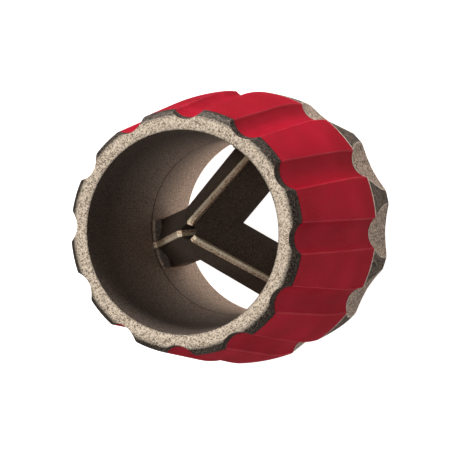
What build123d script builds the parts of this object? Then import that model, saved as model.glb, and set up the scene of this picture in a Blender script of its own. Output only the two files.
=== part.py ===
from build123d import *
import math
import os

# Inner and outer pipe deburring tool, millimetres.
# The tool stands on its rear face at z = 0, and its mouth points up, along +Z.
# Depths are measured down from the mouth, so z = LENGTH - depth.

# Fluted barrel: a taper from the mouth, then two arcs that meet at the widest place
LENGTH = 55.0
MOUTH_WALL = 3.9
FRONT_TAPER = 9.3
TAPER_LENGTH = 22.1
FRONT_ARC_R = 86.0
REAR_ARC_R = 125.0
MOUTH_ROUND = 1.8
REAR_ROUND = 2.2
LOBES = 12
FLUTE_CUT_R = 3.9
FLUTE_DEPTH = 1.75

# Grip sleeve, between the bare mouth ring and the bare rear rim
MOUTH_RING = 2.5
SLEEVE_LENGTH = 35.5
SLEEVE_THICKNESS = 2.9
SLEEVE_CLEARANCE = 0.05

# Scoops of the rear rim, which carry on from the flutes and widen until they nearly meet
SCOOP_DEPTH_FRONT = 1.6
SCOOP_DEPTH_REAR = 1.35
SCOOP_REAR_R = 20.0

# Bore of the body, and the seat of the blade carrier behind its waist
MOUTH_BORE_R = 20.0
MOUTH_CHAMFER = 0.4
BORE_DRAFT = 1.8
WAIST_DEPTH = 29.9
SEAT_STEP = 3.0
SEAT_CHAMFER = 0.5
SEAT_CLEARANCE = 0.03

# Blade carrier: a hoop with three roof-shaped arms
HOOP_REAR_WALL = 1.5
HOOP_SETBACK = 0.5
BLADE_COUNT = 3
BLADE_AZIMUTH = 90.0
ARM_WIDTH = 10.4
ARM_SHOULDER_DEPTH = 9.44
ARM_SHOULDER_SLOPE = 1.46
ARM_REAR_DEPTH = 15.06
ARM_REAR_SLOPE = 1.674
RIDGE_BELOW_EDGE = 0.55
FOOT_LENGTH = 2.4
FOOT_SETBACK = 0.9
CENTRE_HOLE_R = 1.6

# Blades: one edge for the inside of a pipe, one for the outside
CONE_ANGLE = 60.0
INNER_EDGE_DEPTH = -0.3
BLADE_DEPTH = 17.5
BLADE_THICKNESS = 1.2
BLADE_SLOT_CLEARANCE = 0.06
BLADE_INNER_END = 1.4
BLADE_TIP_CHAMFER = 0.8
BLADE_END_GAP = 0.8
TAB_LENGTH = 14.0
TAB_CLEARANCE = 0.1

# Locking pins, driven through the body wall into the carrier and the blade's tab
PIN_R = 1.5
PIN_SETBACK = 4.1
PIN_ENGAGEMENT = 1.7
PIN_SINK = 0.4
PIN_CLEARANCE = 0.03

OVERRUN = 4.0
TAPER_SLOPE = math.tan(math.radians(FRONT_TAPER))
ARC_RUN = FRONT_ARC_R * math.sin(math.radians(FRONT_TAPER))
ARC_RISE = FRONT_ARC_R * (1.0 - math.cos(math.radians(FRONT_TAPER)))
CREST_DEPTH = TAPER_LENGTH + ARC_RUN
CREST_R = MOUTH_BORE_R + MOUTH_WALL + TAPER_SLOPE * TAPER_LENGTH + ARC_RISE
SLEEVE_END = MOUTH_RING + SLEEVE_LENGTH
WAIST_R = MOUTH_BORE_R - BORE_DRAFT
SEAT_R = WAIST_R + SEAT_STEP
HOOP_R = SEAT_R - SEAT_CLEARANCE
HOOP_FRONT = WAIST_DEPTH + SEAT_CLEARANCE
HOOP_END = LENGTH - HOOP_SETBACK
HOOP_MID_R = (WAIST_R + HOOP_R) / 2.0
CONE_SLOPE = 1.0 / math.tan(math.radians(CONE_ANGLE / 2.0))
BLADE_OUTER_END = WAIST_R - BLADE_END_GAP
TAB_START = HOOP_FRONT + TAB_CLEARANCE
SLOT_WIDTH = BLADE_THICKNESS + 2.0 * BLADE_SLOT_CLEARANCE
PIN_DEPTH = WAIST_DEPTH + PIN_SETBACK
PIN_INNER_R = HOOP_R - PIN_ENGAGEMENT
BLADE_ANGLES = [BLADE_AZIMUTH + 360.0 / BLADE_COUNT * i for i in range(BLADE_COUNT)]
FLUTE_ANGLES = [BLADE_AZIMUTH + 360.0 / LOBES * (i + 0.5) for i in range(LOBES)]


def height(depth):
    """Height above the rear face of a point this far behind the mouth."""
    return LENGTH - depth


def barrel_radius(depth, offset=0.0):
    """Radius of the barrel at a depth, with its outline moved outwards by an offset."""
    taper_end = TAPER_LENGTH - offset * math.sin(math.radians(FRONT_TAPER))
    bend = (REAR_ARC_R if depth > CREST_DEPTH else FRONT_ARC_R) + offset
    reach = max(depth, taper_end) - CREST_DEPTH
    on_arc = CREST_R + offset - bend + math.sqrt(bend**2 - reach**2)
    return on_arc - TAPER_SLOPE * max(0.0, taper_end - depth)


def barrel_point(depth, offset=0.0):
    """Point of the barrel's outline, in the XZ plane."""
    return (barrel_radius(depth, offset), 0.0, height(depth))


def barrel_outline(start, end, offset=0.0):
    """Outline of the barrel: its taper, then the arcs before and behind the crest."""
    taper_end = TAPER_LENGTH - offset * math.sin(math.radians(FRONT_TAPER))
    join = barrel_point(taper_end, offset)
    crest = barrel_point(CREST_DEPTH, offset)
    front_mid = barrel_point((taper_end + CREST_DEPTH) / 2.0, offset)
    rear_mid = barrel_point((CREST_DEPTH + end) / 2.0, offset)
    return [
        Line(barrel_point(start, offset), join),
        ThreePointArc(join, front_mid, crest),
        ThreePointArc(crest, rear_mid, barrel_point(end, offset)),
    ]


def turned(points):
    """Solid of revolution from radius and depth pairs."""
    corners = [(radius, 0.0, height(depth)) for radius, depth in points]
    return revolve(make_face(Polyline(*corners, close=True)), Axis.Z)


def around(shape, angles):
    """Copies of a shape drawn along +X, turned about the tool's axis."""
    return [Rot(0, 0, angle) * shape for angle in angles]


def rounded_barrel():
    """Plain barrel with its mouth and rear edges rounded, before the flutes."""
    edges = barrel_outline(0.0, LENGTH)
    mouth = (0.0, 0.0, height(0.0))
    rear = (0.0, 0.0, height(LENGTH))
    edges += [Line(rear, mouth), Line(mouth, edges[0] @ 0), Line(edges[2] @ 1, rear)]
    solid = revolve(make_face(Wire(edges)), Axis.Z)
    rims = solid.edges().filter_by(GeomType.CIRCLE).sort_by(Axis.Z)
    return fillet(rims[0], REAR_ROUND).fillet(MOUTH_ROUND, [rims[-1]])


def flutes():
    """Round-bottomed grooves that follow the barrel's outline at one depth."""
    centre_offset = FLUTE_CUT_R - FLUTE_DEPTH
    path = Wire(barrel_outline(-OVERRUN, LENGTH + OVERRUN, centre_offset))
    section = Plane(origin=path @ 0, z_dir=path % 0) * Circle(FLUTE_CUT_R)
    return around(sweep(section, path=path), FLUTE_ANGLES)


def scoops():
    """Conical grooves of the rear rim, whose floors run from the sleeve's end to the rear face."""
    front = Vector(barrel_radius(SLEEVE_END) - SCOOP_DEPTH_FRONT, 0.0, height(SLEEVE_END))
    rear = Vector(barrel_radius(LENGTH) - SCOOP_DEPTH_REAR, 0.0, height(LENGTH))
    run = (rear - front).length
    growth = (SCOOP_REAR_R - FLUTE_CUT_R) / run
    along = (rear - front).normalized()
    tip = front - along * (FLUTE_CUT_R / growth)
    axis = along.rotate(Axis.Y, -math.degrees(math.atan(growth)))
    reach = FLUTE_CUT_R / growth + run + OVERRUN
    cone = Cone(reach * growth, 0.0, reach, align=(Align.CENTER, Align.CENTER, Align.MAX))
    return around(Plane(origin=tip, z_dir=-axis) * cone, FLUTE_ANGLES)


def core_radius(depth):
    """Radius of the tapered core that the sleeve is moulded on."""
    share = (depth - MOUTH_RING) / SLEEVE_LENGTH
    front = barrel_radius(MOUTH_RING) - SLEEVE_THICKNESS
    rear = barrel_radius(SLEEVE_END) - SLEEVE_THICKNESS
    return front + share * (rear - front)


def sleeve_space(clearance):
    """Ring-shaped space of the grip sleeve, less a clearance all round."""
    start = MOUTH_RING + clearance
    end = SLEEVE_END - clearance
    wide = CREST_R + OVERRUN
    inner_start = core_radius(start) + clearance
    inner_end = core_radius(end) + clearance
    return turned([(inner_start, start), (wide, start), (wide, end), (inner_end, end)])


def body_bore():
    """Tapered bore from the mouth to its waist, and the carrier's seat behind it."""
    chamfer_end_r = MOUTH_BORE_R - BORE_DRAFT * MOUTH_CHAMFER / WAIST_DEPTH
    return turned(
        [
            (0.0, -OVERRUN),
            (chamfer_end_r + MOUTH_CHAMFER + OVERRUN, -OVERRUN),
            (chamfer_end_r, MOUTH_CHAMFER),
            (WAIST_R, WAIST_DEPTH),
            (SEAT_R, WAIST_DEPTH),
            (SEAT_R, LENGTH - SEAT_CHAMFER),
            (SEAT_R + SEAT_CHAMFER + OVERRUN, LENGTH + OVERRUN),
            (0.0, LENGTH + OVERRUN),
        ]
    )


def pin_bores():
    """Radial holes for the locking pins, from the carrier out through the body's core."""
    inner = PIN_INNER_R - PIN_CLEARANCE
    outer = core_radius(PIN_DEPTH) + SLEEVE_THICKNESS / 2.0
    hole = Cylinder(PIN_R + PIN_CLEARANCE, outer - inner, align=(Align.CENTER, Align.CENTER, Align.MIN))
    return around(Plane(origin=(inner, 0.0, height(PIN_DEPTH)), z_dir=(1, 0, 0)) * hole, BLADE_ANGLES)


def grip_body(plain, fluted):
    """Die-cast body: notched mouth ring, core under the sleeve, scooped rear rim."""
    wide = CREST_R + OVERRUN
    rear_half = turned([(0.0, SLEEVE_END), (wide, SLEEVE_END), (wide, LENGTH), (0.0, LENGTH)])
    front = fluted - rear_half - sleeve_space(0.0)
    rear = (plain & rear_half) - scoops()
    return (front + rear) - body_bore() - pin_bores()


def grip_sleeve(fluted):
    """Red grip moulded round the core between the mouth ring and the rear rim."""
    return fluted & sleeve_space(SLEEVE_CLEARANCE)


def hoop():
    """Ring of the carrier, which fills the body's seat behind the waist."""
    rear_inner_r = HOOP_R - HOOP_REAR_WALL
    return turned([(WAIST_R, HOOP_FRONT), (HOOP_R, HOOP_FRONT), (HOOP_R, HOOP_END), (rear_inner_r, HOOP_END)])


def inner_edge(reach):
    """Depth of the front cutting edges at a distance from the axis."""
    return INNER_EDGE_DEPTH + CONE_SLOPE * reach


def outer_edge(reach):
    """Depth of the rear cutting edges at a distance from the axis."""
    return inner_edge(reach) + BLADE_DEPTH


def arm_section(reach):
    """Section of an arm across its length: a steep roof in front, a low one behind."""
    half = ARM_WIDTH / 2.0
    ridge = height(inner_edge(reach) + RIDGE_BELOW_EDGE)
    shoulder = height(ARM_SHOULDER_DEPTH + ARM_SHOULDER_SLOPE * reach)
    heel = height(ARM_REAR_DEPTH + ARM_REAR_SLOPE * reach)
    keel = height(outer_edge(reach) - RIDGE_BELOW_EDGE)
    corners = [
        (reach, 0.0, ridge),
        (reach, half, shoulder),
        (reach, half, heel),
        (reach, 0.0, keel),
        (reach, -half, heel),
        (reach, -half, shoulder),
    ]
    return make_face(Polyline(*corners, close=True))


def arm():
    """One arm along +X with its foot, kept inside its own share of the circle."""
    bar = loft([arm_section(0.0), arm_section(HOOP_MID_R)], ruled=True)
    half = ARM_WIDTH / 2.0
    foot_start = WAIST_R - FOOT_LENGTH
    foot_front = height(WAIST_DEPTH + FOOT_SETBACK)
    foot_outline = Polyline(
        (foot_start, -half, foot_front),
        (HOOP_MID_R, -half, foot_front),
        (HOOP_MID_R, -half, height(ARM_REAR_DEPTH + ARM_REAR_SLOPE * HOOP_MID_R)),
        (foot_start, -half, height(ARM_REAR_DEPTH + ARM_REAR_SLOPE * foot_start)),
        close=True,
    )
    foot = extrude(make_face(foot_outline), ARM_WIDTH, dir=(0, 1, 0))
    side = 2.0 * HOOP_R
    spread = side * math.tan(math.pi / BLADE_COUNT)
    share = make_face(Polyline((0, 0), (side, spread), (side, -spread), close=True))
    return (bar + foot) & extrude(Pos(0, 0, -OVERRUN) * share, LENGTH + 2.0 * OVERRUN)


def blade_slot():
    """Slot that holds a blade along +X, with a deeper pocket for its tab."""
    length = HOOP_R + OVERRUN
    cut = Box(length, SLOT_WIDTH, 2.0 * LENGTH, align=(Align.MIN, Align.CENTER, Align.CENTER))
    inside = Cylinder(WAIST_R, 4.0 * LENGTH)
    tab_end = TAB_START + TAB_LENGTH + TAB_CLEARANCE
    pocket = Pos(0, 0, height(tab_end)) * Box(
        length, SLOT_WIDTH, LENGTH, align=(Align.MIN, Align.CENTER, Align.MIN)
    )
    return (cut & inside) + pocket


def blade_carrier():
    """Carrier: three slotted arms that meet at the axis, in one casting with the hoop."""
    limit = Cylinder(HOOP_MID_R, 4.0 * LENGTH)
    solid = hoop()
    for one_arm in around(arm(), BLADE_ANGLES):
        solid += one_arm & limit
    solid -= Cylinder(CENTRE_HOLE_R, 4.0 * LENGTH)
    return solid - around(blade_slot(), BLADE_ANGLES) - pin_bores()


def blade():
    """Flat blade along +X: two parallel cutting edges, and a tab with the pin's notch."""
    tab_r = HOOP_R - TAB_CLEARANCE
    tab_end = TAB_START + TAB_LENGTH
    half = BLADE_THICKNESS / 2.0
    tip = BLADE_INNER_END + BLADE_TIP_CHAMFER
    notch_r = PIN_INNER_R - PIN_CLEARANCE
    notch_half = PIN_R + PIN_CLEARANCE
    corners = [
        (BLADE_INNER_END, inner_edge(tip) + BLADE_TIP_CHAMFER / 2.0),
        (tip, inner_edge(tip)),
        (BLADE_OUTER_END, inner_edge(BLADE_OUTER_END)),
        (BLADE_OUTER_END, TAB_START),
        (tab_r, TAB_START),
        (tab_r, PIN_DEPTH - notch_half),
        (notch_r, PIN_DEPTH - notch_half),
        (notch_r, PIN_DEPTH + notch_half),
        (tab_r, PIN_DEPTH + notch_half),
        (tab_r, tab_end),
        (BLADE_OUTER_END, tab_end),
        (BLADE_OUTER_END, outer_edge(BLADE_OUTER_END)),
        (BLADE_INNER_END, outer_edge(BLADE_INNER_END)),
    ]
    outline = Polyline(*[(reach, -half, height(depth)) for reach, depth in corners], close=True)
    return extrude(make_face(outline), BLADE_THICKNESS, dir=(0, 1, 0))


def locking_pin():
    """Pin along +X, from the blade's notch to just under the surface of the core."""
    length = core_radius(PIN_DEPTH) - PIN_SINK - PIN_INNER_R
    pin = Cylinder(PIN_R, length, align=(Align.CENTER, Align.CENTER, Align.MIN))
    return Plane(origin=(PIN_INNER_R, 0.0, height(PIN_DEPTH)), z_dir=(1, 0, 0)) * pin


def save(shape, name):
    """Writes one node."""
    solids = shape.solids()
    node = solids[0] if len(solids) == 1 else Compound(children=list(solids))
    node.label = name
    export_step(node, os.path.join("parts", name + ".step"))


def main():
    os.makedirs("parts", exist_ok=True)
    plain = rounded_barrel()
    fluted = plain - flutes()
    save(grip_body(plain, fluted), "grip_body")
    save(grip_sleeve(fluted), "grip_sleeve")
    save(blade_carrier(), "blade_carrier")
    for number, angle in enumerate(BLADE_ANGLES, start=1):
        save(Rot(0, 0, angle) * blade(), f"blade_{number}")
        save(Rot(0, 0, angle) * locking_pin(), f"locking_pin_{number}")


main()
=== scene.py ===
import math
import bpy
import numpy as np
from mathutils import Matrix, Vector


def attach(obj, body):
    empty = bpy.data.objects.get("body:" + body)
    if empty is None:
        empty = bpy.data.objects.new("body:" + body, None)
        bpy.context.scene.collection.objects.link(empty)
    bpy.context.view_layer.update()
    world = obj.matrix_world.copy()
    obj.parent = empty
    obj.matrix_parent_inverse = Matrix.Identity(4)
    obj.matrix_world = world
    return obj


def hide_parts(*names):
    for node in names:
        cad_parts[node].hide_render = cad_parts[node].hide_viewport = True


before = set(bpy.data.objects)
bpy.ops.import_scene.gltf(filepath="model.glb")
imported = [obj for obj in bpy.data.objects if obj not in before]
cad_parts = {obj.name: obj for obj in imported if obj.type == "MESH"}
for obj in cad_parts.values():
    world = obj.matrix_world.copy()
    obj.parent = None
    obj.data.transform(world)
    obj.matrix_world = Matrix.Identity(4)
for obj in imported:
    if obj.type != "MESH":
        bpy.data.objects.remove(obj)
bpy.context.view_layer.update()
scene = bpy.context.scene

# Sizes of the solids, in millimetres. Depths run from the mouth to the rear face.
# The widest radius is 0.01 less than theirs, which keeps the skins inside their box.
MM = 0.001
LENGTH = 55.0
CREST_DEPTH = 36.0
CREST_R = 28.64
TAPER = math.radians(9.3)
TAPER_END = 22.1
FRONT_ARC_R = 86.0
REAR_ARC_R = 125.0
LOBES = 12
PITCH = 2.0 * math.pi / LOBES
FLUTE_CUT_R = 3.9
FLUTE_DEPTH = 1.75
MOUTH_RING = 2.5
SLEEVE_END = 38.0
SLEEVE_THICKNESS = 2.9
SLEEVE_GAP = 0.05
MOUTH_ROUND = 1.8
REAR_ROUND = 2.2
SCOOP_DEPTH_FRONT = 1.6
SCOOP_DEPTH_REAR = 1.35
SCOOP_REAR_R = 20.0
BORE_R = 20.0
WAIST_R = 18.2
WAIST_DEPTH = 29.9
SEAT_R = 21.2
SEAT_CHAMFER = 0.5
BLADE_AZIMUTH = math.radians(90.0)
BLADE_PITCH = 2.0 * math.pi / 3.0

# Mesh columns of half a sector. On each side of the crease between groove and lobe, two of them lie
# at these distances or, where there is little room, at these shares of it.
GROOVE_STEPS = 8
LOBE_STEPS = 5
HALF_STEPS = GROOVE_STEPS + LOBE_STEPS + 4
CREASE_NEAR = 0.16
CREASE_FAR = 0.4
NEAR_SHARE = 0.2
FAR_SHARE = 0.5

# The crease's own angle is found by halving and kept between a least and a most. Rows without grooves
# take the least or the middle one.
CREASE_LEAST = math.radians(1.0)
CREASE_MIDDLE = math.radians(7.0)
CREASE_MOST = 0.97 * PITCH / 2.0
CREASE_HALVINGS = 24

# The radius that stands for no cut, and the angle between two faces from which their edge stays sharp
CLEAR = 1000.0
SHARP_ANGLE = math.radians(32.0)

# Mesh rows along the tool. Each of those at the mouth's edge has a radius beyond the bore's and a depth.
MOUTH_EDGE = ((-0.02, 0.4), (0.08, 0.16), (0.4, 0.0), (1.2, 0.0))
MOUTH_ROUND_ROWS = 13
RING_SIDE_DEPTHS = (2.0, 2.2)
CORE_ROWS = 9
SLEEVE_ROWS = 48
RIM_ROWS = 44
REAR_ROUND_ROWS = 13
SEAT_DEPTHS = (45.0, 37.0)
BORE_ROWS = 14
BORE_START = 0.8

# How far each corner is eased, and the small step that marks both ends of the sleeve
RING_EASE = 0.2
SLEEVE_EASE = 0.12
RIM_EASE = 0.16
REAR_EASE = 0.1
STEP_RUN = 0.06
METAL_DROP = 0.08
SLEEVE_DROP = 0.06


# The barrel's outline and its flutes
def barrel_radius(depth):
    bend = REAR_ARC_R if depth > CREST_DEPTH else FRONT_ARC_R
    reach = max(depth, TAPER_END) - CREST_DEPTH
    on_arc = CREST_R - bend + math.sqrt(bend * bend - reach * reach)
    return on_arc - math.tan(TAPER) * max(0.0, TAPER_END - depth)


def soft_min(a, b, soft):
    """Smaller of two lengths, with the corner between them rounded."""
    h = max(0.0, min(1.0, 0.5 + 0.5 * (b - a) / soft))
    return b * (1.0 - h) + a * h - soft * h * (1.0 - h)


def flute_cut(angle, depth):
    """Radius of a round-bottomed flute at an angle from its middle."""
    centre = barrel_radius(depth) - FLUTE_DEPTH + FLUTE_CUT_R
    under = FLUTE_CUT_R**2 - (centre * math.sin(angle)) ** 2
    if under <= 0.0:
        return CLEAR
    return centre * math.cos(angle) - math.sqrt(under)


def core_radius(depth):
    """Radius of the tapered core under the sleeve."""
    share = (depth - MOUTH_RING) / (SLEEVE_END - MOUTH_RING)
    front = barrel_radius(MOUTH_RING) - SLEEVE_THICKNESS
    return front + share * (barrel_radius(SLEEVE_END) - SLEEVE_THICKNESS - front)


def scoop_cone():
    """Tip, axis and half angle of one cone-shaped scoop, in the plane of its flute."""
    front = np.array([barrel_radius(SLEEVE_END) - SCOOP_DEPTH_FRONT, SLEEVE_END])
    rear = np.array([barrel_radius(LENGTH) - SCOOP_DEPTH_REAR, LENGTH])
    run = float(np.linalg.norm(rear - front))
    growth = (SCOOP_REAR_R - FLUTE_CUT_R) / run
    along = (rear - front) / run
    half = math.atan(growth)
    tip = front - along * (FLUTE_CUT_R / growth)
    axis = (
        along[0] * math.cos(half) + along[1] * math.sin(half),
        along[1] * math.cos(half) - along[0] * math.sin(half),
    )
    return tip, axis, half


SCOOP_TIP, SCOOP_AXIS, SCOOP_HALF = scoop_cone()


def scoop_cut(angle, depth):
    """Radius of a cone-shaped scoop at an angle from its middle."""
    side = math.cos(angle)
    run = depth - SCOOP_TIP[1]
    square = math.cos(SCOOP_HALF) ** 2
    # A point on the ray lies on the cone where it and the cone's axis make the cone's half angle.
    lead = side * SCOOP_AXIS[0]
    start = -SCOOP_TIP[0] * SCOOP_AXIS[0] + run * SCOOP_AXIS[1]
    a = lead * lead - square
    b = 2.0 * (lead * start + square * side * SCOOP_TIP[0])
    c = start * start - square * (SCOOP_TIP[0] ** 2 + run * run)
    under = b * b - 4.0 * a * c
    if under <= 0.0:
        return CLEAR
    roots = sorted([(-b - math.sqrt(under)) / (2.0 * a), (-b + math.sqrt(under)) / (2.0 * a)])
    ahead = [root for root in roots if root > 0.0 and lead * root + start > 0.0]
    return ahead[0] if ahead else CLEAR


def crease_angle(cut, depth, lobe):
    """Angle from a groove's middle at which its cut meets the lobe."""
    low, high = 0.0, PITCH / 2.0
    for _ in range(CREASE_HALVINGS):
        middle = (low + high) / 2.0
        if cut(middle, depth) < lobe:
            low = middle
        else:
            high = middle
    return min(max(high, CREASE_LEAST), CREASE_MOST)


# Rows round the tool, and the mesh between them
def half_sector(crease, radius):
    """Angles from a groove's middle to a lobe's, close together at the crease between them."""
    room = min(crease, PITCH / 2.0 - crease)
    near = min(CREASE_NEAR / radius, NEAR_SHARE * room)
    far = min(CREASE_FAR / radius, FAR_SHARE * room)
    groove = list(np.linspace(0.0, crease - far, GROOVE_STEPS + 1))
    edge = [crease - near, crease, crease + near]
    lobe = list(np.linspace(crease + far, PITCH / 2.0, LOBE_STEPS + 1))
    return groove + edge + lobe


def ring_row(half, radii, depth):
    """Points round the tool, from the angles and radii of half a sector.

    A sector is the mirror image of that half and then the half itself, without the point where the
    sector before it ends.
    """
    turns = [-angle for angle in half[-2:0:-1]] + half
    reaches = radii[-2:0:-1] + radii
    row = []
    for flute in range(LOBES):
        middle = BLADE_AZIMUTH + PITCH * (flute + 0.5)
        row += [(middle + turn, radius, depth) for turn, radius in zip(turns, reaches)]
    return row


def plain_row(radius, depth, crease=CREASE_MIDDLE):
    """Row of one radius, with its columns set as for a crease at this angle."""
    half = half_sector(crease, radius)
    return ring_row(half, [radius] * len(half), depth)


def grooved_row(cut, depth, lobe, soft, drop=0.0):
    """Row round the barrel: lobes of one radius, with the grooves cut between them."""
    half = half_sector(crease_angle(cut, depth, lobe), lobe)
    radii = [soft_min(lobe, cut(angle, depth), soft) - drop for angle in half]
    return ring_row(half, radii, depth)


def ring_mesh(name, rows, finishes):
    """Closed ring-shaped piece from rows of azimuth, radius and depth."""
    verts = []
    for row in rows:
        for azimuth, radius, depth in row:
            x = radius * math.cos(azimuth)
            y = radius * math.sin(azimuth)
            verts.append((x * MM, y * MM, (LENGTH - depth) * MM))
    columns = len(rows[0])
    faces = []
    for row in range(len(rows)):
        here = row * columns
        there = (row + 1) % len(rows) * columns
        for column in range(columns):
            beside = (column + 1) % columns
            faces.append((here + column, there + column, there + beside, here + beside))
    mesh = bpy.data.meshes.new(name)
    mesh.from_pydata(verts, [], faces)
    mesh.update()
    piece = bpy.data.objects.new(name, mesh)
    scene.collection.objects.link(piece)
    for polygon in mesh.polygons:
        polygon.use_smooth = True
    mesh.set_sharp_from_angle(angle=SHARP_ANGLE)
    for finish in finishes:
        mesh.materials.append(finish)
    return piece


def column_kind(column):
    """Whether a column of faces lies in a groove, on a crease or on a lobe."""
    place = column % (2 * HALF_STEPS)
    step = max(HALF_STEPS - 2 - place, place - HALF_STEPS + 1)
    if step <= GROOVE_STEPS:
        return "groove"
    return "crease" if step <= GROOVE_STEPS + 2 else "lobe"


# Material nodes
def material(name, metallic=0.0, roughness=0.5, specular=0.5):
    made = bpy.data.materials.new(name)
    made.use_nodes = True
    tree = made.node_tree
    shader = tree.nodes["Principled BSDF"]
    shader.inputs["Metallic"].default_value = metallic
    shader.inputs["Roughness"].default_value = roughness
    shader.inputs["Specular IOR Level"].default_value = specular
    return made, tree, shader


def node(tree, kind, **values):
    """New node, with values for its inputs or, where it has no such input, its settings."""
    made = tree.nodes.new(kind)
    for key, value in values.items():
        if key in made.inputs:
            made.inputs[key].default_value = value
        else:
            setattr(made, key, value)
    return made


def object_coords(tree):
    return node(tree, "ShaderNodeTexCoord").outputs["Object"]


def noise(tree, scale, rough=0.6):
    made = node(tree, "ShaderNodeTexNoise", Scale=scale, Detail=2.0, Roughness=rough)
    tree.links.new(object_coords(tree), made.inputs["Vector"])
    return made.outputs["Fac"]


def ramp(tree, source, palette):
    """Colour that follows a value from 0 to 1, by a palette's places and colours."""
    made = node(tree, "ShaderNodeValToRGB")
    stops = made.color_ramp.elements
    while len(stops) > 1:
        stops.remove(stops[0])
    stops[0].position = palette[0][0]
    stops[0].color = (*palette[0][1], 1.0)
    for place, colour in palette[1:]:
        stops.new(place).color = (*colour, 1.0)
    tree.links.new(source, made.inputs["Fac"])
    return made.outputs["Color"]


def bump(tree, shader, source, strength, height):
    """Relief from a value, its height in millimetres."""
    made = node(tree, "ShaderNodeBump", Strength=strength, Distance=height * MM)
    tree.links.new(source, made.inputs["Height"])
    tree.links.new(made.outputs["Normal"], shader.inputs["Normal"])


def length_mask(tree, value, start, end):
    """Mask that goes from 0 at one length to 1 at another, both in millimetres."""
    made = node(tree, "ShaderNodeMapRange")
    made.inputs["From Min"].default_value = start * MM
    made.inputs["From Max"].default_value = end * MM
    tree.links.new(value, made.inputs["Value"])
    return made.outputs["Result"]


def depth_mask(tree, start, end):
    """0 nearer the mouth than the start, 1 deeper than the end."""
    split = node(tree, "ShaderNodeSeparateXYZ")
    tree.links.new(object_coords(tree), split.inputs["Vector"])
    return length_mask(tree, split.outputs["Z"], LENGTH - start, LENGTH - end)


def radius_mask(tree, start, end):
    """0 nearer the axis than the start, 1 further out than the end."""
    flat = node(tree, "ShaderNodeVectorMath", operation="MULTIPLY")
    flat.inputs[1].default_value = (1, 1, 0)
    tree.links.new(object_coords(tree), flat.inputs[0])
    length = node(tree, "ShaderNodeVectorMath", operation="LENGTH")
    tree.links.new(flat.outputs["Vector"], length.inputs[0])
    return length_mask(tree, length.outputs["Value"], start, end)


def side_mask(tree, azimuth, start, end):
    """0 on one side of a blade's plane, 1 on the other."""
    across = node(tree, "ShaderNodeVectorMath", operation="DOT_PRODUCT")
    across.inputs[1].default_value = (-math.sin(azimuth), math.cos(azimuth), 0.0)
    tree.links.new(object_coords(tree), across.inputs[0])
    return length_mask(tree, across.outputs["Value"], start, end)


def blend(tree, mask, first, second):
    """First colour where the mask is 0, second where it is 1.

    The colour sockets are taken by number, because those for other kinds of value share their names.
    """
    made = node(tree, "ShaderNodeMix", data_type="RGBA")
    tree.links.new(mask, made.inputs[0])
    tree.links.new(first, made.inputs[6])
    tree.links.new(second, made.inputs[7])
    return made.outputs[2]


# Palettes: places along the noise and their linear colours, from dark to light
RING_FACE = ((0.37, (0.15, 0.11, 0.075)), (0.46, (0.53, 0.42, 0.31)), (0.61, (0.84, 0.71, 0.56)))
# Mouth ring's side: partly its own darker tone, partly painted shade
RING_SIDE_TONE_AND_SHADE = ((0.40, (0.008, 0.006, 0.004)), (0.54, (0.06, 0.042, 0.03)), (0.66, (0.23, 0.17, 0.125)))
RIM_SCOOP = ((0.40, (0.035, 0.023, 0.016)), (0.50, (0.36, 0.25, 0.18)), (0.64, (0.80, 0.62, 0.48)))
# Painted shade on the rim's lobes between the scoops
RIM_FACET_PAINTED_SHADE = ((0.40, (0.018, 0.012, 0.008)), (0.50, (0.10, 0.07, 0.05)), (0.64, (0.32, 0.235, 0.17)))
# Painted highlight on the creases of the rim's scoops
RIM_EDGE_PAINTED_HIGHLIGHT = ((0.40, (0.22, 0.16, 0.115)), (0.50, (0.56, 0.45, 0.35)), (0.64, (0.84, 0.73, 0.61)))
# Painted highlight along the rim's front edge, by the sleeve's end
RIM_FRONT_PAINTED_HIGHLIGHT = ((0.35, (0.38, 0.30, 0.23)), (0.60, (0.74, 0.64, 0.53)))
# Bore: painted shade near the mouth, painted light towards the rear
BORE_FRONT_PAINTED_SHADE = ((0.38, (0.065, 0.045, 0.037)), (0.62, (0.19, 0.14, 0.11)))
BORE_REAR_PAINTED_LIGHT = ((0.38, (0.32, 0.22, 0.16)), (0.62, (0.82, 0.62, 0.47)))
BORE_SEAM = ((0.40, (0.02, 0.014, 0.01)), (0.65, (0.12, 0.09, 0.07)))
CARRIER_ARM = ((0.38, (0.045, 0.031, 0.024)), (0.64, (0.14, 0.10, 0.075)))
GRIP_RED = ((0.35, (0.31, 0.0003, 0.010)), (0.65, (0.39, 0.0006, 0.017)))
# Paler red of the creases: partly wear, partly painted highlight
GRIP_WEAR_AND_HIGHLIGHT = ((0.35, (0.39, 0.0006, 0.017)), (0.65, (0.50, 0.01, 0.024)))
BLADE_LAND = ((0.36, (0.72, 0.50, 0.28)), (0.48, (1.0, 0.82, 0.56)), (0.64, (1.0, 0.93, 0.78)))
# Brown half of the blade: painted shade
BLADE_RELIEF_PAINTED_SHADE = ((0.38, (0.26, 0.15, 0.09)), (0.50, (0.76, 0.53, 0.36)), (0.66, (1.0, 0.80, 0.60)))
PIN_PLAIN = ((0.3, (0.45, 0.45, 0.46)), (0.7, (0.6, 0.6, 0.61)))

# Scales of the noise, per metre: the larger, the finer the grain
RING_GRAIN = 3700.0
RIM_GRAIN = 2300.0
BORE_GRAIN = 3000.0
GRIP_GRAIN = 2800.0
GRIP_CLOUDS = 90.0
BLADE_GRAIN = 2600.0
PIN_GRAIN = 900.0

# Where one finish turns into the next: depths, a radius from the axis, and a place across a blade
FACE_TO_SIDE = (0.01, 0.3)
FRONT_TO_RIM = (SLEEVE_END + 0.4, SLEEVE_END + 0.7)
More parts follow.
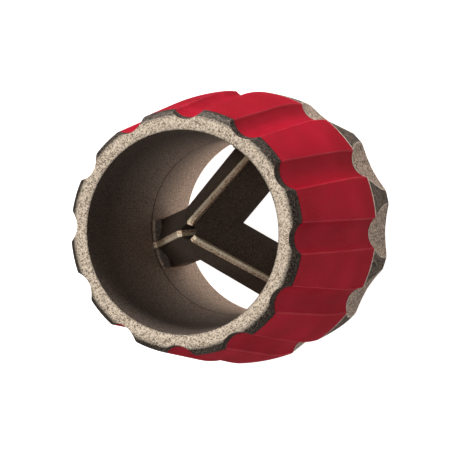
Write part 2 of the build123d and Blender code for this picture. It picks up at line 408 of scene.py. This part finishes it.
# Depths over which the bore's painted shade turns into painted light
PAINTED_SHADE_TO_LIGHT = (9.0, 46.0)
SEAM_START = (WAIST_DEPTH - 0.25, WAIST_DEPTH - 0.2)
SEAM_END = (WAIST_DEPTH + 0.2, WAIST_DEPTH + 0.25)
ARM_TO_HOOP = (17.6, 18.1)
PAINTED_SHADE_TO_LAND = (-0.12, 0.12)


# The materials
def ring_metal():
    """Mouth ring: bright speckled face; its edge and side darker, partly the metal's own darker tone and
    partly painted shade.
    """
    made, tree, shader = material("mouth ring metal", metallic=0.35, roughness=0.55)
    grain = noise(tree, RING_GRAIN)
    face = ramp(tree, grain, RING_FACE)
    # The side's colour is partly painted shade.
    side = ramp(tree, grain, RING_SIDE_TONE_AND_SHADE)
    tree.links.new(blend(tree, depth_mask(tree, *FACE_TO_SIDE), face, side), shader.inputs["Base Color"])
    bump(tree, shader, grain, 0.45, 0.1)
    return made


def rim_metal(name, palette):
    """Speckled casting of the rear rim, with a painted highlight along the sleeve's end."""
    made, tree, shader = material(name, metallic=0.2, roughness=0.55)
    grain = noise(tree, RIM_GRAIN)
    plain = ramp(tree, grain, palette)
    # This paler band is a painted highlight along the sleeve's end.
    front = ramp(tree, grain, RIM_FRONT_PAINTED_HIGHLIGHT)
    tree.links.new(blend(tree, depth_mask(tree, *FRONT_TO_RIM), front, plain), shader.inputs["Base Color"])
    bump(tree, shader, grain, 0.9, 0.15)
    return made


def bore_colour(tree):
    """Painted shade near the mouth and painted light towards the rear, with a thin dark seam at the waist.
    """
    grain = noise(tree, BORE_GRAIN)
    # Nearer the mouth painted shade, towards the rear painted light
    front = ramp(tree, grain, BORE_FRONT_PAINTED_SHADE)
    rear = ramp(tree, grain, BORE_REAR_PAINTED_LIGHT)
    plain = blend(tree, depth_mask(tree, *PAINTED_SHADE_TO_LIGHT), front, rear)
    seam = ramp(tree, grain, BORE_SEAM)
    seamed = blend(tree, depth_mask(tree, *SEAM_START), plain, seam)
    return grain, blend(tree, depth_mask(tree, *SEAM_END), seamed, plain)


def bore_metal():
    made, tree, shader = material("bore metal with painted shade and light", metallic=0.1, roughness=0.6)
    grain, colour = bore_colour(tree)
    tree.links.new(colour, shader.inputs["Base Color"])
    bump(tree, shader, grain, 0.4, 0.1)
    return made


def red_grip(name, palette, roughness=0.5, specular=0.07):
    made, tree, shader = material(name, roughness=roughness, specular=specular)
    grain = noise(tree, GRIP_GRAIN)
    clouds = noise(tree, GRIP_CLOUDS, 0.5)
    tree.links.new(ramp(tree, clouds, palette), shader.inputs["Base Color"])
    bump(tree, shader, grain, 0.9, 0.12)
    return made


def carrier_metal():
    """Carrier: dark arms, and a hoop with the painted shade and light of the bore it carries on from."""
    made, tree, shader = material("carrier casting", metallic=0.1, roughness=0.55)
    grain, hoop = bore_colour(tree)
    arm = ramp(tree, grain, CARRIER_ARM)
    tree.links.new(blend(tree, radius_mask(tree, *ARM_TO_HOOP), arm, hoop), shader.inputs["Base Color"])
    bump(tree, shader, grain, 0.4, 0.1)
    return made


def blade_steel(azimuth):
    """Blade: a bright ground land on one half of its thickness; the other half is brown, painted shade
    that stands for a ground-back facet.
    """
    made, tree, shader = material("ground blade steel", metallic=0.15, roughness=0.45)
    grain = noise(tree, BLADE_GRAIN)
    land = ramp(tree, grain, BLADE_LAND)
    # This half's brown is painted shade.
    relief_shade = ramp(tree, grain, BLADE_RELIEF_PAINTED_SHADE)
    mask = side_mask(tree, azimuth, *PAINTED_SHADE_TO_LAND)
    tree.links.new(blend(tree, mask, relief_shade, land), shader.inputs["Base Color"])
    bump(tree, shader, grain, 0.3, 0.06)
    return made


def pin_steel():
    made, tree, shader = material("plain pin steel", metallic=1.0, roughness=0.3)
    colour = ramp(tree, noise(tree, PIN_GRAIN, 0.5), PIN_PLAIN)
    tree.links.new(colour, shader.inputs["Base Color"])
    return made


def paint_node(name, finish):
    """Gives one of the frame's own pieces its material."""
    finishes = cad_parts[name].data.materials
    finishes.clear()
    finishes.append(finish)


# Slots of the body's materials. The faces after a scooped row take one of three, by their column: plain
# rim in the grooves, painted highlight on the creases, painted shade on the lobes.
RING, RIM, BORE, FACET, EDGE, SCOOPED = range(6)
SCOOPED_SLOTS = {"groove": RIM, "crease": EDGE, "lobe": FACET}


# The pieces
def body_rows():
    """Rows of the metal body, each with the slot of the faces from it to the next."""
    rows = []
    # Mouth: the bore's chamfered edge, the flat face, the rounding and the ring's side
    for beyond, depth in MOUTH_EDGE:
        rows.append((plain_row(BORE_R + beyond, depth, CREASE_LEAST), RING))
    for turn in np.linspace(0.0, math.pi / 2.0, MOUTH_ROUND_ROWS):
        depth = MOUTH_ROUND * (1.0 - math.cos(turn))
        lobe = barrel_radius(depth) - MOUTH_ROUND * (1.0 - math.sin(turn))
        rows.append((grooved_row(flute_cut, depth, lobe, RING_EASE), RING))
    for depth in (*RING_SIDE_DEPTHS, MOUTH_RING - STEP_RUN):
        rows.append((grooved_row(flute_cut, depth, barrel_radius(depth), RING_EASE), RING))
    ring_end = barrel_radius(MOUTH_RING)
    rows.append((grooved_row(flute_cut, MOUTH_RING, ring_end, RING_EASE, METAL_DROP), RING))
    # Core under the sleeve
    for depth in np.linspace(MOUTH_RING, SLEEVE_END, CORE_ROWS):
        rows.append((plain_row(core_radius(depth), depth), RING))
    # Scooped rear rim and its rounded edge
    rim_start = barrel_radius(SLEEVE_END)
    rows.append((grooved_row(scoop_cut, SLEEVE_END, rim_start, RIM_EASE, METAL_DROP), SCOOPED))
    for depth in np.linspace(SLEEVE_END + STEP_RUN, LENGTH - REAR_ROUND, RIM_ROWS):
        rows.append((grooved_row(scoop_cut, depth, barrel_radius(depth), RIM_EASE), SCOOPED))
    for turn in np.linspace(0.0, math.pi / 2.0, REAR_ROUND_ROWS)[1:-1]:
        depth = LENGTH - REAR_ROUND * (1.0 - math.sin(turn))
        lobe = barrel_radius(depth) - REAR_ROUND * (1.0 - math.cos(turn))
        rows.append((grooved_row(scoop_cut, depth, lobe, REAR_EASE), SCOOPED))
    # Flat rear face, the seat with its chamfer, and the tapered bore
    rows.append((plain_row(barrel_radius(LENGTH) - REAR_ROUND, LENGTH, CREASE_LEAST), RIM))
    rows.append((plain_row(SEAT_R + SEAT_CHAMFER, LENGTH), RIM))
    for depth in (LENGTH - SEAT_CHAMFER, *SEAT_DEPTHS, WAIST_DEPTH):
        rows.append((plain_row(SEAT_R, depth), BORE))
    for depth in np.linspace(WAIST_DEPTH, BORE_START, BORE_ROWS):
        rows.append((plain_row(BORE_R - (BORE_R - WAIST_R) * depth / WAIST_DEPTH, depth), BORE))
    return rows


def build_body():
    """Metal body: notched mouth ring, core under the sleeve, rear rim, bore and seat."""
    rows, slots = zip(*body_rows())
    finishes = (
        ring_metal(),
        rim_metal("rear rim metal", RIM_SCOOP),
        bore_metal(),
        # The lobes' facets: painted shade
        rim_metal("rear facet painted shade metal", RIM_FACET_PAINTED_SHADE),
        # The creases: painted highlight
        rim_metal("rear edge painted highlight metal", RIM_EDGE_PAINTED_HIGHLIGHT),
    )
    piece = ring_mesh("grip_body_skin", rows, finishes)
    for index, polygon in enumerate(piece.data.polygons):
        row, column = divmod(index, len(rows[0]))
        slot = slots[row]
        polygon.material_index = SCOOPED_SLOTS[column_kind(column)] if slot == SCOOPED else slot
    return piece


def build_sleeve():
    """Red grip: crisp fluted skin, its creases a paler red that is partly wear and partly painted
    highlight, square ends, plain inside.
    """
    start = MOUTH_RING + SLEEVE_GAP
    end = SLEEVE_END - SLEEVE_GAP
    rows = [plain_row(core_radius(start) + SLEEVE_GAP, start)]
    rows.append(grooved_row(flute_cut, start, barrel_radius(start), SLEEVE_EASE, SLEEVE_DROP))
    for depth in np.linspace(start + STEP_RUN, end - STEP_RUN, SLEEVE_ROWS):
        rows.append(grooved_row(flute_cut, depth, barrel_radius(depth), SLEEVE_EASE))
    outside_end = len(rows)
    rows.append(grooved_row(flute_cut, end, barrel_radius(end), SLEEVE_EASE, SLEEVE_DROP))
    for depth in np.linspace(end, start, CORE_ROWS)[:-1]:
        rows.append(plain_row(core_radius(depth) + SLEEVE_GAP, depth))
    plain = red_grip("textured red", GRIP_RED)
    worn_and_highlit = red_grip("worn red edge", GRIP_WEAR_AND_HIGHLIGHT, 0.38, 0.35)
    piece = ring_mesh("grip_sleeve_skin", rows, (plain, worn_and_highlit))
    for index, polygon in enumerate(piece.data.polygons):
        row, column = divmod(index, len(rows[0]))
        # Crease faces take the paler red: partly wear, partly painted highlight.
        polygon.material_index = int(row < outside_end and column_kind(column) == "crease")
    return piece


body = build_body()
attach(body, "root")
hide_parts("grip_body")
sleeve = build_sleeve()
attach(sleeve, "root")
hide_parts("grip_sleeve")
paint_node("blade_carrier", carrier_metal())
pin_finish = pin_steel()
for number in (1, 2, 3):
    paint_node(f"blade_{number}", blade_steel(BLADE_AZIMUTH + BLADE_PITCH * (number - 1)))
    paint_node(f"locking_pin_{number}", pin_finish)

# Floor, light and camera, in metres from the mouth's centre in the photograph's frame: x to the
# right, y away from the mouth along the tool's axis, z up. Each light has its place, width and power.
PHOTO_TURN = math.radians(17.9)
LIGHTS = {
    "key left": ((-0.22, -0.10, 0.55), 0.16, 2.15),
    "key top": ((0.0, -0.06, 0.58), 0.16, 1.2),
    "key right": ((0.16, 0.06, 0.56), 0.12, 0.85),
    "front": ((-0.22, -0.56, 0.06), 0.25, 1.0),
    "low front": ((-0.12, -0.50, -0.32), 0.2, 0.8),
    "side fill": ((0.16, -0.56, 0.10), 0.2, 0.7),
    "below": ((0.0, 0.0, -0.50), 0.2, 0.2),
}
LIGHT_TARGET = (0.0, 0.027, 0.0)
WORLD_LIGHT = 0.06
FLOOR_HALF = 1.2
FLOOR_GLOW = 0.9
CAMERA_PLACE = (0.1556, -0.4006, 0.0144)
CAMERA_RIGHT = (0.9399, 0.3412, -0.0117)
CAMERA_UP = (0.0, 0.0342, 0.9994)
CAMERA_BACK = (0.3414, -0.9394, 0.0322)
CAMERA_LENS = 172.93
CAMERA_SENSOR = 36.0


def direction_in_part(x, y, z):
    """Turns a direction from the photograph's frame into the part's."""
    return Matrix.Rotation(PHOTO_TURN, 3, "Z") @ Vector((x, z, -y))


def place_in_part(place):
    return direction_in_part(*place) + Vector((0, 0, LENGTH * MM))


def build_floor():
    corners = [(-1, -1), (1, -1), (1, 1), (-1, 1)]
    mesh = bpy.data.meshes.new("floor")
    mesh.from_pydata([(x * FLOOR_HALF, y * FLOOR_HALF, 0) for x, y in corners], [], [(0, 1, 2, 3)])
    floor = bpy.data.objects.new("floor", mesh)
    scene.collection.objects.link(floor)
    made, tree, shader = material("pale floor", roughness=0.8)
    shader.inputs["Base Color"].default_value = (0.9, 0.9, 0.9, 1)
    shader.inputs["Emission Color"].default_value = (1, 1, 1, 1)
    shader.inputs["Emission Strength"].default_value = FLOOR_GLOW
    mesh.materials.append(made)
    floor.visible_glossy = False


def build_lights():
    for name, (place, size, power) in LIGHTS.items():
        data = bpy.data.lights.new(name, "AREA")
        data.energy = power
        data.size = size
        lamp = bpy.data.objects.new(name, data)
        scene.collection.objects.link(lamp)
        lamp.location = place_in_part(place)
        aim = place_in_part(LIGHT_TARGET) - lamp.location
        lamp.rotation_euler = aim.to_track_quat("-Z", "Y").to_euler()


def build_world():
    world = bpy.data.worlds.new("studio")
    world.use_nodes = True
    background = world.node_tree.nodes["Background"]
    background.inputs["Color"].default_value = (1, 1, 1, 1)
    background.inputs["Strength"].default_value = WORLD_LIGHT
    scene.world = world
    scene.view_settings.view_transform = "Standard"


def build_camera():
    data = bpy.data.cameras.new("camera")
    data.sensor_width = CAMERA_SENSOR
    data.lens = CAMERA_LENS
    data.clip_start = 0.01
    camera = bpy.data.objects.new("camera", data)
    scene.collection.objects.link(camera)
    axes = [direction_in_part(*axis) for axis in (CAMERA_RIGHT, CAMERA_UP, CAMERA_BACK)]
    rotation = Matrix(axes).transposed().to_4x4()
    camera.matrix_world = Matrix.Translation(place_in_part(CAMERA_PLACE)) @ rotation
    scene.camera = camera


build_floor()
build_lights()
build_world()
build_camera()
